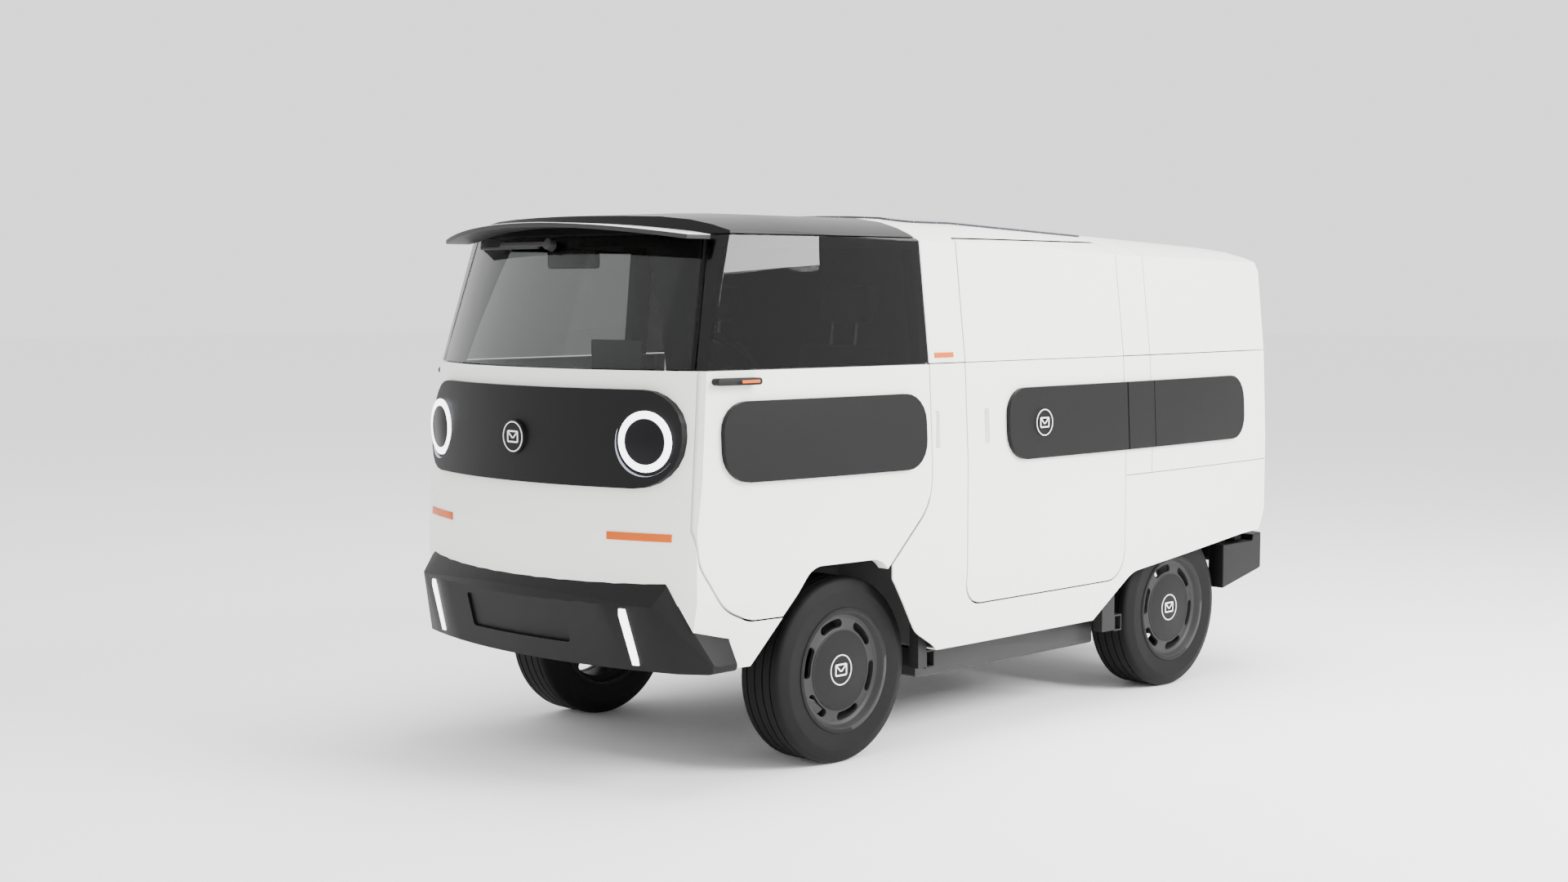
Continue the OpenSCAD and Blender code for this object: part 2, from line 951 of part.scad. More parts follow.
module pedal(x) {
    color("silver")
        translate([x, front_axle - 560, 790])
            union() {
                rotate([0, 90, 0])
                    cylinder(h = 44, r = 10, center = true);
                rotate([-24, 0, 0])
                    block([-7, -6, -200], [7, 6, -8]);
                rotate([-24, 0, 0])
                    rounded_box([-30, -4, -240], [30, 10, -190], 4);
            }
}

module interior_mirror() {
    color([0.08, 0.08, 0.08])
        translate([0, front_axle - 600, 1745])
            rounded_box([-125, -14, -32], [125, 14, 32], 12);
}

// ---------- doors ----------

module door(side) {
    color("ivory")
        on_side(side)
            difference() {
                intersection() {
                    lower_shell(0, door_t);
                    door_cut(-shut_gap / 2);
                    block([300, nose_end, 500], [1000, tail_end, belt_z - 2]);
                }
                across(-1000, 1000)
                    polygon([for (p = rounded(front_arch)) [p[0], p[1] + 4]]);
            }
}

module door_glass(side) {
    color([0.12, 0.12, 0.12, 0.6])
        on_side(side)
            intersection() {
                upper_shell_form(0, skin_t);
                across(300, 1000)
                    polygon([
                        [door_front_top + 2, belt_z + 1], [screen_top_y + 2, window_top_z],
                        [door_back - 3, window_top_z], [door_back - 3, belt_z + 1]
                    ]);
            }
}

module door_pad(side) {
    color([0.16, 0.16, 0.16])
        on_side(side)
            intersection() {
                lower_shell(-pad_t, -0.2);
                pad_outline(front_axle - 597, door_back - 41, 100);
            }
}

module camera_pod(side) {
    y0 = door_front_top + 28;
    color([0.08, 0.08, 0.08])
        on_side(side)
            union() {
                intersection() {
                    lower_shell(-34, -2);
                    across(300, 1000)
                        polygon(rounded([
                            [y0, belt_z - 48, 11], [y0 + 178, belt_z - 48, 11],
                            [y0 + 178, belt_z - 24, 11], [y0, belt_z - 24, 11]
                        ]));
                }
                intersection() {
                    lower_shell(-6, -0.2);
                    block([300, y0 + 20, belt_z - 44], [1000, y0 + 60, belt_z - 28]);
                }
            }
}

module side_door(side) {
    color("ivory")
        on_side(side)
            difference() {
                intersection() {
                    union() {
                        intersection() {
                            lower_shell(0, door_t);
                            block([300, nose_end, 400], [1000, tail_end, belt_z]);
                        }
                        intersection() {
                            upper_shell_form(0, door_t);
                            block([300, nose_end, belt_z], [1000, tail_end, 2000]);
                        }
                    }
                    load_cut(-shut_gap / 2);
                    block([640, nose_end, 400], [1000, tail_end, 2000]);
                }
                rounded_box([half_w - 28, load_front + 100, pad_z - 66],
                    [half_w + 20, load_front + 128, pad_z + 66], 12);
            }
}

module side_door_pad(side) {
    color([0.16, 0.16, 0.16])
        on_side(side)
            intersection() {
                lower_shell(-pad_t, -0.2);
                pad_outline(front_axle + 781, load_back + 400, 100);
                block([500, nose_end, 900], [1000, load_back - shut_gap / 2, 1400]);
            }
}

module tailgate() {
    color("ivory")
        difference() {
            intersection() {
                union() {
                    intersection() {
                        lower_shell(0, door_t);
                        block([-1000, 0, 400], [1000, tail_end + 50, belt_z]);
                    }
                    intersection() {
                        upper_shell_form(0, door_t);
                        block([-1000, 0, belt_z], [1000, tail_end + 50, 2000]);
                    }
                }
                gate_cut(-shut_gap / 2);
                block([-1000, tail_end - 300, 400], [1000, tail_end + 50, 2000]);
            }
            both_sides() {
                translate([gate_pin_x, gate_pin[0], gate_pin[1]])
                    rotate([0, 90, 0])
                        cylinder(h = 2 * hinge_h + 2, r = hinge_r + 0.05, center = true);
                block([gate_pin_x - 17, gate_pin[0] - 90, gate_pin[1] - 12],
                    [gate_pin_x + 17, gate_pin[0] + 10, gate_pin[1] + 60]);
            }
        }
}

// Puts its children on the curved tail, with +Z pointing out of the lamp
module at_tail_lamps() {
    lamp_x = 430;
    both_sides()
        translate([lamp_x, tail_y - lamp_x * lamp_x / (2 * tail_r) + 1.5, pad_z + 4])
            rotate([0, 0, -asin(lamp_x / tail_r)])
                rotate([-90, 0, 0])
                    children();
}

module tail_mask() {
    color([0.13, 0.13, 0.13])
        difference() {
            intersection() {
                lower_shell(-7, -1);
                mask_outline(560, 300, tail_end - 200, tail_end + 50);
            }
            at_tail_lamps()
                translate([0, 0, -40])
                    cylinder(h = 90, r = 92);
        }
}

module tail_lamps() {
    color("red")
        at_tail_lamps()
            union() {
                difference() {
                    cylinder(h = 5, r = 88);
                    translate([0, 0, -1])
                        cylinder(h = 7, r = 64.5);
                }
                cylinder(h = 5, r = 64);
            }
}

// ---------- running gear ----------

module at_wheel(side, axle_y) {
    on_side(side)
        translate([half_track, axle_y, tyre_r])
            rotate([0, 90, 0])
                children();
}

module tyre(side, axle_y) {
    half = tyre_w / 2;
    color([0.09, 0.09, 0.09])
        at_wheel(side, axle_y)
            difference() {
                rotate_extrude($fn = 128)
                    polygon(rounded([
                        [rim_r, -half + 6, 8], [tyre_r - 45, -half, 20], [tyre_r, -half + 16, 22],
                        [tyre_r, half - 16, 22], [tyre_r - 45, half, 20], [rim_r, half - 6, 8],
                        [rim_r, half - 20, 0], [rim_r + 8, half - 26, 0], [tyre_r - 30, half - 24, 10],
                        [tyre_r - 30, -half + 24, 10], [rim_r + 8, -half + 26, 0], [rim_r, -half + 20, 0]
                    ]));
                for (z = [-54, -18, 18, 54])
                    translate([0, 0, z - 3])
                        rotate_extrude($fn = 128)
                            translate([tyre_r - 7, 0])
                                square([12, 6]);
            }
}

// Curved slot with round ends on a circle of radius r, from angle 0 to the given sweep
function slot_outline(r, half_w, sweep) = concat(
    [for (a = [0:4:sweep]) (r + half_w) * [cos(a), sin(a)]],
    [for (a = [30:30:150]) r * [cos(sweep), sin(sweep)] + half_w * [cos(sweep + a), sin(sweep + a)]],
    [for (a = [sweep:-4:0]) (r - half_w) * [cos(a), sin(a)]],
    [for (a = [210:30:330]) [r, 0] + half_w * [cos(a), sin(a)]]
);

// Rim barrel, pressed disc with six slots, flat cap and the hub that turns on the spindle
module rim(side, axle_y) {
    half = tyre_w / 2;
    slot_r = (cap_r + rim_r) / 2 - 11;
    color([0.22, 0.22, 0.22])
        at_wheel(side, axle_y)
            difference() {
                union() {
                    rotate_extrude($fn = 128)
                        polygon([
                            [rim_r - 8, -half + 2], [rim_r + 6, -half + 2], [rim_r + 6, -half + 5.5],
                            [rim_r - 0.3, -half + 5.5], [rim_r - 0.3, -half + 30], [rim_r - 22, -half + 50],
                            [rim_r - 22, half - 40], [rim_r - 0.3, half - 30], [rim_r - 0.3, half - 5.5],
                            [rim_r + 6, half - 5.5], [rim_r + 6, half - 2], [rim_r - 8, half - 2],
                            [rim_r - 20, half - 24], [rim_r - 30, half - 30],
                            [cap_r + 4, half - 24], [cap_r + 4, half - 21], [cap_r, half - 20],
                            [0, half - 20], [0, half - 34], [rim_r - 36, half - 40],
                            [rim_r - 30, half - 52], [rim_r - 30, -half + 52], [rim_r - 8, -half + 34]
                        ]);
                    translate([0, 0, -22])
                        cylinder(h = half - 12, r = 46);
                    translate([0, 0, -8])
                        cylinder(h = 12, r = 120);
                }
                translate([0, 0, -23])
                    cylinder(h = 73, r = spindle_r + 0.05);
                for (i = [0:5])
                    rotate([0, 0, 60 * i + 1])
                        translate([0, 0, half - 60])
                            linear_extrude(60)
                                polygon(slot_outline(slot_r, 15, 28));
            }
}

// Upright with the stub spindle, the brake calliper and the steering arm
module knuckle(side) {
    color("slategray")
        on_side(side)
            difference() {
                union() {
                    block([kingpin_x - 22, front_axle - 34, tyre_r - 70],
                        [kingpin_x + 22, front_axle + 34, tyre_r + 70]);
                    translate([kingpin_x, front_axle, tyre_r])
                        rotate([0, 90, 0])
                            cylinder(h = 100, r = spindle_r);
                    block([kingpin_x - 12, front_axle + 30, rack_z - 11],
                        [kingpin_x + 8, front_axle + 170, rack_z + 11]);
                }
                translate([kingpin_x, front_axle, tyre_r - 90])
                    cylinder(h = 190, r = 14.05);
            }
}

// Strut: damper tube, fork with the kingpin, spring seat and lower arm stub
module strut(side) {
    color("dimgray")
        on_side(side)
            union() {
                translate([kingpin_x, front_axle, tyre_r - 84])
                    cylinder(h = 168, r = 14);
                block([kingpin_x - 26, front_axle - 30, tyre_r + 72],
                    [kingpin_x + 26, front_axle + 30, tyre_r + 92]);
                block([kingpin_x - 26, front_axle - 30, tyre_r - 92],
                    [kingpin_x + 26, front_axle + 30, tyre_r - 72]);
                block([460, front_axle - 30, tyre_r + 78], [kingpin_x - 20, front_axle + 30, tyre_r + 92]);
                translate([460, front_axle, tyre_r + 60])
                    cylinder(h = 180, r = 24);
                translate([460, front_axle, tyre_r + 150])
                    cylinder(h = 6, r = 44);
                block([400, front_axle - 14, tyre_r - 90], [kingpin_x - 20, front_axle + 14, tyre_r - 76]);
            }
}

// Coil: rings on a common axis joined by short risers
module coil(x, y, z0, z1, ring_r, wire_r, turns) {
    pitch = (z1 - z0) / turns;
    translate([x, y, z0]) {
        for (i = [0:turns])
            translate([0, 0, i * pitch])
                rotate_extrude($fn = 48)
                    translate([ring_r, 0])
                        circle(r = wire_r, $fn = 16);
        for (i = [0:turns - 1])
            rotate([0, 0, i * 180])
                translate([ring_r, 0, i * pitch])
                    cylinder(h = pitch, r = wire_r * 0.8, $fn = 16);
    }
}

module spring(side) {
    color("gold")
        on_side(side)
            coil(460, front_axle, tyre_r + 163, 684, 38, 6, 4);
}

// Rear beam with the drive motor, the two spindles and the spring seats
module rear_axle() {
    color("dimgray")
        union() {
            translate([0, rear_axle_y, tyre_r])
                rotate([0, 90, 0])
                    cylinder(h = 2 * 545, r = 34, center = true);
            both_sides() {
                translate([540, rear_axle_y, tyre_r])
                    rotate([0, 90, 0])
                        cylinder(h = 130, r = spindle_r);
                translate([460, rear_axle_y, tyre_r + 20])
                    cylinder(h = 60, r = 24);
                translate([460, rear_axle_y, tyre_r + 76])
                    cylinder(h = 6, r = 52);
            }
            translate([-30, rear_axle_y + 20, tyre_r])
                rotate([0, 90, 0])
                    cylinder(h = 200, r = 95);
        }
}

module rear_springs() {
    color("gold")
        both_sides()
            coil(460, rear_axle_y, tyre_r + 89, 684, 38, 6, 5);
}

// ---------- assembly ----------

chassis_frame();
battery_pack();
floor_pan();
cab_frame();
bulkhead();
front_panel();
side_panel(1);  // side_panel_left
side_panel(-1);  // side_panel_right
upper_shell();
rear_panel();
cab_roof();
solar_panel();
windscreen();
visor();
front_mask();
front_lamps();
signal_lamps();
front_bumper();
rear_bumper();
tail_pads();
dashboard();
steering_wheel();
steering_rack();
seat(1);  // seat_left
seat(-1);  // seat_right
wiper();
pedal(300);  // brake_pedal
pedal(400);  // accelerator_pedal
interior_mirror();
door(1);  // door_left
door(-1);  // door_right
door_glass(1);  // door_glass_left
door_glass(-1);  // door_glass_right
door_pad(1);  // door_pad_left
door_pad(-1);  // door_pad_right
camera_pod(1);  // camera_pod_left
camera_pod(-1);  // camera_pod_right
side_door(1);  // side_door_left
side_door(-1);  // side_door_right
side_door_pad(1);  // side_door_pad_left
side_door_pad(-1);  // side_door_pad_right
tailgate();
tail_mask();
tail_lamps();
strut(1);  // strut_left
strut(-1);  // strut_right
knuckle(1);  // knuckle_left
knuckle(-1);  // knuckle_right
spring(1);  // spring_left
spring(-1);  // spring_right
rear_axle();
rear_springs();
tyre(1, front_axle);  // tyre_front_left
tyre(-1, front_axle);  // tyre_front_right
tyre(1, rear_axle_y);  // tyre_rear_left
tyre(-1, rear_axle_y);  // tyre_rear_right
rim(1, front_axle);  // rim_front_left
rim(-1, front_axle);  // rim_front_right
rim(1, rear_axle_y);  // rim_rear_left
rim(-1, rear_axle_y);  // rim_rear_right
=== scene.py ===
import json
import math

import bmesh
import bpy
import numpy as np
from mathutils import Matrix, Vector


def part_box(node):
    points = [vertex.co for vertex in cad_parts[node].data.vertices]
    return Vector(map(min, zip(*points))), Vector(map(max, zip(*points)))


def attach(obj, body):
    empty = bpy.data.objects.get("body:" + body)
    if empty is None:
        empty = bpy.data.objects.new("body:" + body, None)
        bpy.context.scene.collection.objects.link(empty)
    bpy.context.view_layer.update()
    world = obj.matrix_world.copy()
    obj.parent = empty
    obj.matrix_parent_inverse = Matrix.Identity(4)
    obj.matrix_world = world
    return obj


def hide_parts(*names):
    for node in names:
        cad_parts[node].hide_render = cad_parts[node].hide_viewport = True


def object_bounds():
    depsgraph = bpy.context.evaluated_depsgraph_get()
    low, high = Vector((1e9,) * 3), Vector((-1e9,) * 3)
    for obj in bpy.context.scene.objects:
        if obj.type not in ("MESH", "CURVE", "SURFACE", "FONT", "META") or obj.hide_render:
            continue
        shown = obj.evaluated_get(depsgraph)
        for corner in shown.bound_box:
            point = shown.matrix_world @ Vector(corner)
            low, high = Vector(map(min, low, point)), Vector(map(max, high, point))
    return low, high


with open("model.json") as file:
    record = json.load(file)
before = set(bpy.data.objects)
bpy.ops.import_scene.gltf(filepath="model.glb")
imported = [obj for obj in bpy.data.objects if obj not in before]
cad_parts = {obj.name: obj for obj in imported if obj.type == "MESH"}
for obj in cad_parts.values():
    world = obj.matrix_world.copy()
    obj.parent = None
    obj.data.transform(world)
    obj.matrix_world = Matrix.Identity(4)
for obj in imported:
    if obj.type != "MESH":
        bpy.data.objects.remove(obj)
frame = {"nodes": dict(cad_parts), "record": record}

CAD_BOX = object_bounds()

# ---------- camera, floor and light ----------
# A pale seamless floor with soft light: one wide lamp high on the driver's side, a weak one
# ahead of the nose and a bright sky.
camera_data = bpy.data.cameras.new("camera")
camera_data.lens = 48.4
camera_data.sensor_width = 36
camera_data.clip_end = 200
camera = bpy.data.objects.new("camera", camera_data)
camera.location = (5.611, -6.254, 1.649)
camera.rotation_euler = (math.radians(85.836), 0, math.radians(44.187))
bpy.context.scene.collection.objects.link(camera)
bpy.context.scene.camera = camera


def link(name, data):
    thing = bpy.data.objects.new(name, data)
    bpy.context.scene.collection.objects.link(thing)
    return thing


def soft_lamp(name, place, target, size, power):
    data = bpy.data.lights.new(name, "AREA")
    data.size = size
    data.energy = power
    lamp = link(name, data)
    lamp.location = place
    lamp.rotation_euler = (Vector(target) - Vector(place)).to_track_quat("-Z", "Y").to_euler()


soft_lamp("side_lamp", (7.0, 2.0, 5.0), (0, 0.2, 0.9), 4.0, 1500)
soft_lamp("nose_lamp", (-2.5, -7.5, 4.0), (0, -1.5, 0.8), 4.0, 20)
soft_lamp("top_lamp", (0.5, 0.5, 7.5), (0, 0, 1), 4.0, 620)

world = bpy.data.worlds.new("studio")
world.use_nodes = True
world.node_tree.nodes["Background"].inputs["Color"].default_value = (1, 1, 1, 1)
world.node_tree.nodes["Background"].inputs["Strength"].default_value = 1.7
bpy.context.scene.world = world

floor_mesh = bpy.data.meshes.new("floor")
floor_half = 60
floor_mesh.from_pydata(
    [(-floor_half, -floor_half, 0), (floor_half, -floor_half, 0),
     (floor_half, floor_half, 0), (-floor_half, floor_half, 0)], [], [(0, 1, 2, 3)])
floor = link("floor", floor_mesh)

# ---------- the painted body ----------
# Pressed sheet panels on the frame: nose, sides, upper shell and rear panel, sprayed warm white
# under a clear coat. Each panel is hemmed, so its edges are small radii, and hangs with even gaps.


def new_group(name, inputs, outputs):
    group = bpy.data.node_groups.new(name, "ShaderNodeTree")
    for label, kind, value in inputs:
        socket = group.interface.new_socket(label, in_out="INPUT", socket_type=kind)
        socket.default_value = value
    for label, kind in outputs:
        group.interface.new_socket(label, in_out="OUTPUT", socket_type=kind)
    return group, group.nodes.new("NodeGroupInput"), group.nodes.new("NodeGroupOutput")


def make_mottle():
    """Shared effect: slow drift of tone, fine grain for a bump, and dust low on the body."""
    group, take, give = new_group(
        "mottle",
        [("Tone", "NodeSocketColor", (1, 1, 1, 1)), ("Shade", "NodeSocketColor", (0, 0, 0, 1)),
         ("Patch Scale", "NodeSocketFloat", 3.0), ("Patch Amount", "NodeSocketFloat", 0.1),
         ("Grain Scale", "NodeSocketFloat", 400.0), ("Roughness", "NodeSocketFloat", 0.4),
         ("Rough Spread", "NodeSocketFloat", 0.1)],
        [("Color", "NodeSocketColor"), ("Roughness", "NodeSocketFloat"),
         ("Height", "NodeSocketFloat"), ("Low", "NodeSocketFloat")])
    nodes, join = group.nodes, group.links.new
    place = nodes.new("ShaderNodeTexCoord")
    patch = nodes.new("ShaderNodeTexNoise")
    patch.inputs["Detail"].default_value = 5
    grain = nodes.new("ShaderNodeTexNoise")
    grain.inputs["Detail"].default_value = 3
    for noise, label in ((patch, "Patch Scale"), (grain, "Grain Scale")):
        join(place.outputs["Object"], noise.inputs["Vector"])
        join(take.outputs[label], noise.inputs["Scale"])
    amount = nodes.new("ShaderNodeMath")
    amount.operation = "MULTIPLY"
    join(patch.outputs["Fac"], amount.inputs[0])
    join(take.outputs["Patch Amount"], amount.inputs[1])
    blend = nodes.new("ShaderNodeMix")
    blend.data_type = "RGBA"
    join(amount.outputs[0], blend.inputs["Factor"])
    join(take.outputs["Tone"], blend.inputs["A"])
    join(take.outputs["Shade"], blend.inputs["B"])
    rough = nodes.new("ShaderNodeMath")
    rough.operation = "MULTIPLY_ADD"
    join(patch.outputs["Fac"], rough.inputs[0])
    join(take.outputs["Rough Spread"], rough.inputs[1])
    join(take.outputs["Roughness"], rough.inputs[2])
    split = nodes.new("ShaderNodeSeparateXYZ")
    join(place.outputs["Object"], split.inputs[0])
    low = nodes.new("ShaderNodeMapRange")
    low.inputs["From Min"].default_value = 0.75
    low.inputs["From Max"].default_value = 0.3
    join(split.outputs["Z"], low.inputs["Value"])
    speck = nodes.new("ShaderNodeMath")
    speck.operation = "MULTIPLY"
    join(low.outputs["Result"], speck.inputs[0])
    join(patch.outputs["Fac"], speck.inputs[1])
    join(blend.outputs["Result"], give.inputs["Color"])
    join(rough.outputs[0], give.inputs["Roughness"])
    join(grain.outputs["Fac"], give.inputs["Height"])
    join(speck.outputs[0], give.inputs["Low"])
    return group


MOTTLE = make_mottle()


def finish(name, tone, shade, rough, patch=3.0, amount=0.35, spread=0.08, grain=400.0,
           bump=0.05, depth=0.0004, dust=0.0, **fixed):
    """A Principled finish over the shared mottle; fixed holds plain values of the shader."""
    material = bpy.data.materials.new(name)
    material.use_nodes = True
    nodes, join = material.node_tree.nodes, material.node_tree.links.new
    shader = nodes["Principled BSDF"]
    mottle = nodes.new("ShaderNodeGroup")
    mottle.node_tree = MOTTLE
    mottle.inputs["Tone"].default_value = (*tone, 1)
    mottle.inputs["Shade"].default_value = (*shade, 1)
    mottle.inputs["Patch Scale"].default_value = patch
    mottle.inputs["Patch Amount"].default_value = amount
    mottle.inputs["Grain Scale"].default_value = grain
    mottle.inputs["Roughness"].default_value = rough
    mottle.inputs["Rough Spread"].default_value = spread
    colour = mottle.outputs["Color"]
    if dust:
        gain = nodes.new("ShaderNodeMath")
        gain.operation = "MULTIPLY"
        gain.inputs[1].default_value = dust
        join(mottle.outputs["Low"], gain.inputs[0])
        dusty = nodes.new("ShaderNodeMix")
        dusty.data_type = "RGBA"
        dusty.inputs["B"].default_value = (0.20, 0.19, 0.17, 1)
        join(gain.outputs[0], dusty.inputs["Factor"])
        join(colour, dusty.inputs["A"])
        colour = dusty.outputs["Result"]
    join(colour, shader.inputs["Base Color"])
    join(mottle.outputs["Roughness"], shader.inputs["Roughness"])
    if bump:
        relief = nodes.new("ShaderNodeBump")
        relief.inputs["Strength"].default_value = bump
        relief.inputs["Distance"].default_value = depth
        join(mottle.outputs["Height"], relief.inputs["Height"])
        join(relief.outputs["Normal"], shader.inputs["Normal"])
    for label, value in fixed.items():
        shader.inputs[label.replace("_", " ")].default_value = value
    return material


def draw_seams(material, lines):
    """Thin dark panel joints; each line is (axis, place, from y, low z, high z)."""
    nodes, join = material.node_tree.nodes, material.node_tree.links.new
    shader = nodes["Principled BSDF"]
    place = nodes.new("ShaderNodeTexCoord")
    split = nodes.new("ShaderNodeSeparateXYZ")
    join(place.outputs["Object"], split.inputs[0])

    def maths(operation, first, second, third=None):
        node = nodes.new("ShaderNodeMath")
        node.operation = operation
        for slot, value in enumerate((first, second, third)):
            if hasattr(value, "is_output"):
                join(value, node.inputs[slot])
            elif value is not None:
                node.inputs[slot].default_value = value
        return node.outputs[0]

    total = None
    for axis, at, start, low, high in lines:
        along = split.outputs[axis]
        here = maths("COMPARE", along, at, 0.0016)
        here = maths("MULTIPLY", here, maths("GREATER_THAN", split.outputs["Y"], start))
        here = maths("MULTIPLY", here, maths("GREATER_THAN", split.outputs["Z"], low))
        here = maths("MULTIPLY", here, maths("LESS_THAN", split.outputs["Z"], high))
        total = here if total is None else maths("MAXIMUM", total, here)
    inked = nodes.new("ShaderNodeMix")
    inked.data_type = "RGBA"
    inked.inputs["B"].default_value = (0.03, 0.03, 0.03, 1)
    join(total, inked.inputs["Factor"])
    join(shader.inputs["Base Color"].links[0].from_socket, inked.inputs["A"])
    join(inked.outputs["Result"], shader.inputs["Base Color"])


WHITE_PAINT = finish("white_paint", (0.90, 0.905, 0.87), (0.86, 0.86, 0.825), 0.30, patch=1.5,
                     grain=900, bump=0.04, dust=0.16, Coat_Weight=0.35, Coat_Roughness=0.12)
FLOOR_FINISH = finish("floor_paint", (0.95, 0.95, 0.95), (0.935, 0.935, 0.94), 0.75, patch=0.6,
                      grain=60, bump=0.02)
floor.data.materials.append(FLOOR_FINISH)

NOSE_R = 1.56
FRONT_AXLE = sum(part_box("rim_front_left")[i].y for i in (0, 1)) / 2
TAIL_Y = CAD_BOX[1][1] - 0.008
BELT_Z = 1.381


def drop_slope(y):
    """How fast the plan outline draws in at a station."""
    front, rear = FRONT_AXLE + 0.6, FRONT_AXLE + 1.2
    return np.where(y < front, (y - front) / 8.67, np.where(y > rear, (y - rear) / 18.0, 0.0))


def smooth_step(a, b, value):
    t = np.clip((value - a) / (b - a), 0, 1)
    return t * t * (3 - 2 * t)


def form_normals(points):
    """Normals of the smooth body walls at some points: sides, nose, screen, roof and tail."""
    x, y, z = points.T
    side = np.where(x < 0, -1.0, 1.0)
    walls = []

    def wall(nx, ny, nz):
        n = np.stack([nx + 0 * x, ny + 0 * x, nz + 0 * x], 1)
        walls.append(n / np.linalg.norm(n, axis=1)[:, None])

    slope = drop_slope(y)
    wall(side, slope, np.sin(np.radians(2.7)) * smooth_step(0.70, 1.34, z))
    wall(side, slope, -math.tan(math.radians(7)))
    wall(side, slope, math.tan(math.radians(6.5)))
    for wall_y, z0, lean in ((FRONT_AXLE - 0.874, 0.85, 0.0), (FRONT_AXLE - 0.816, BELT_Z, 6.2),
                             (FRONT_AXLE - 0.816, BELT_Z, 18.0)):
        c, s = math.cos(math.radians(lean)), math.sin(math.radians(lean))
        v = (y - wall_y) * c - (z - z0) * s - NOSE_R
        wall(x, v * c, -v * s)
    shoulder = np.maximum(np.abs(x) - 0.38, 0) / 0.385
    roof_slope = np.abs(x) / 9.0 + 0.075 * 2.6 * shoulder ** 1.6 / 0.385
    pitch = np.interp(y, [FRONT_AXLE - 0.5, FRONT_AXLE - 0.1, FRONT_AXLE + 0.5, FRONT_AXLE + 1.3],
                      [-0.047, -0.02, 0.008, 0.0426])
    wall(side * roof_slope, pitch, 1.0)
    tail_slope = np.interp(z, [0.60, 0.72, 0.90, 1.05, 1.38, 1.6], [0.49, 0.45, 0.2, 0.0, -0.06, -0.12])
    wall(x / 3.5, 1.0, -tail_slope)
    wall(x / 12.0, y - (TAIL_Y - 0.28), z - 1.6)
    return walls


def clean_copy(node, edge, segments, limit=25.0):
    """A copy of a CAD node's surface with clean faces and a radius on its sharp edges."""
    mesh = bmesh.new()
    mesh.from_mesh(frame["nodes"][node].data)
    bmesh.ops.remove_doubles(mesh, verts=mesh.verts, dist=2e-6)
    bmesh.ops.dissolve_limit(mesh, angle_limit=0.004, verts=mesh.verts, edges=mesh.edges)
    if edge:
        sharp = [e for e in mesh.edges if e.is_manifold and e.calc_face_angle(0) > math.radians(limit)]
        bmesh.ops.bevel(mesh, geom=sharp, offset=edge, segments=segments, profile=0.5,
                        affect="EDGES", clamp_overlap=True)
    return mesh


draw_seams(WHITE_PAINT, (("Z", BELT_Z, FRONT_AXLE + 0.36, 0, 3),
                         ("Y", FRONT_AXLE + 1.725, 0, 0.911, 1.84),
                         ("Z", 0.911, FRONT_AXLE + 1.545, 0, 3)))


def hold_walls(data):
    """Shades faces that lie on a body wall with that wall's own smooth normals."""
    points = np.zeros(len(data.vertices) * 3)
    data.vertices.foreach_get("co", points)
    points = points.reshape(-1, 3)
    walls = form_normals(points)
    normals = np.zeros((len(data.loops), 3))
    held = {}
    loose = []
    for face in data.polygons:
        own = np.array(face.normal)
        ring = list(face.vertices)
        best, which, sign = 0.985, None, 1
        for wall in walls:
            mean = wall[ring].mean(0)
            fit = float(mean @ own) / (np.linalg.norm(mean) + 1e-9)
            if abs(fit) > best:
                best, which, sign = abs(fit), wall, math.copysign(1, fit)
        if which is None or face.area < 2e-5:
            loose.append(face)
            continue
        for loop, vertex in zip(face.loop_indices, ring):
            normals[loop] = sign * which[vertex]
            held.setdefault(vertex, []).append(normals[loop])
    for face in loose:
        own = np.array(face.normal)
        for loop, vertex in zip(face.loop_indices, face.vertices):
            near = [n for n in held.get(vertex, ()) if n @ own > 0.35]
            if near:
                normals[loop] = max(near, key=lambda n: n @ own)
    data.normals_split_custom_set([tuple(n) for n in normals])


def body_of(node):
    return next(b for b, members in frame["record"]["behaviour"]["bodies"].items() if node in members)


def place_piece(name, mesh, node, finishes, smooth=30.0, on_walls=True):
    """Turns a bmesh into a piece that stands for a CAD node and rides on its body."""
    data = bpy.data.meshes.new(name)
    mesh.to_mesh(data)
    mesh.free()
    for item in finishes:
        data.materials.append(item)
    data.shade_smooth()
    piece = link(name, data)
    if on_walls:
        hold_walls(data)
    else:
        data.set_sharp_from_angle(angle=math.radians(smooth))
    if node:
        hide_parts(node)
        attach(piece, body_of(node))
    return piece


PAINTED = {
    "front_panel": 0.0012, "side_panel_left": 0.0012, "side_panel_right": 0.0012,
    "upper_shell": 0.0012, "rear_panel": 0.0012, "door_left": 0.002, "door_right": 0.002,
    "side_door_left": 0.002, "side_door_right": 0.002, "tailgate": 0.002,
}
for node, radius in PAINTED.items():
    place_piece(node + "_skin", clean_copy(node, radius, 2), node, [WHITE_PAINT])
for node in ("floor_pan", "bulkhead"):
    place_piece(node + "_sheet", clean_copy(node, 0, 1), node, [finish(
        node + "_paint", (0.10, 0.10, 0.10), (0.06, 0.06, 0.06), 0.55, grain=220, bump=0.3)],
        on_walls=False)

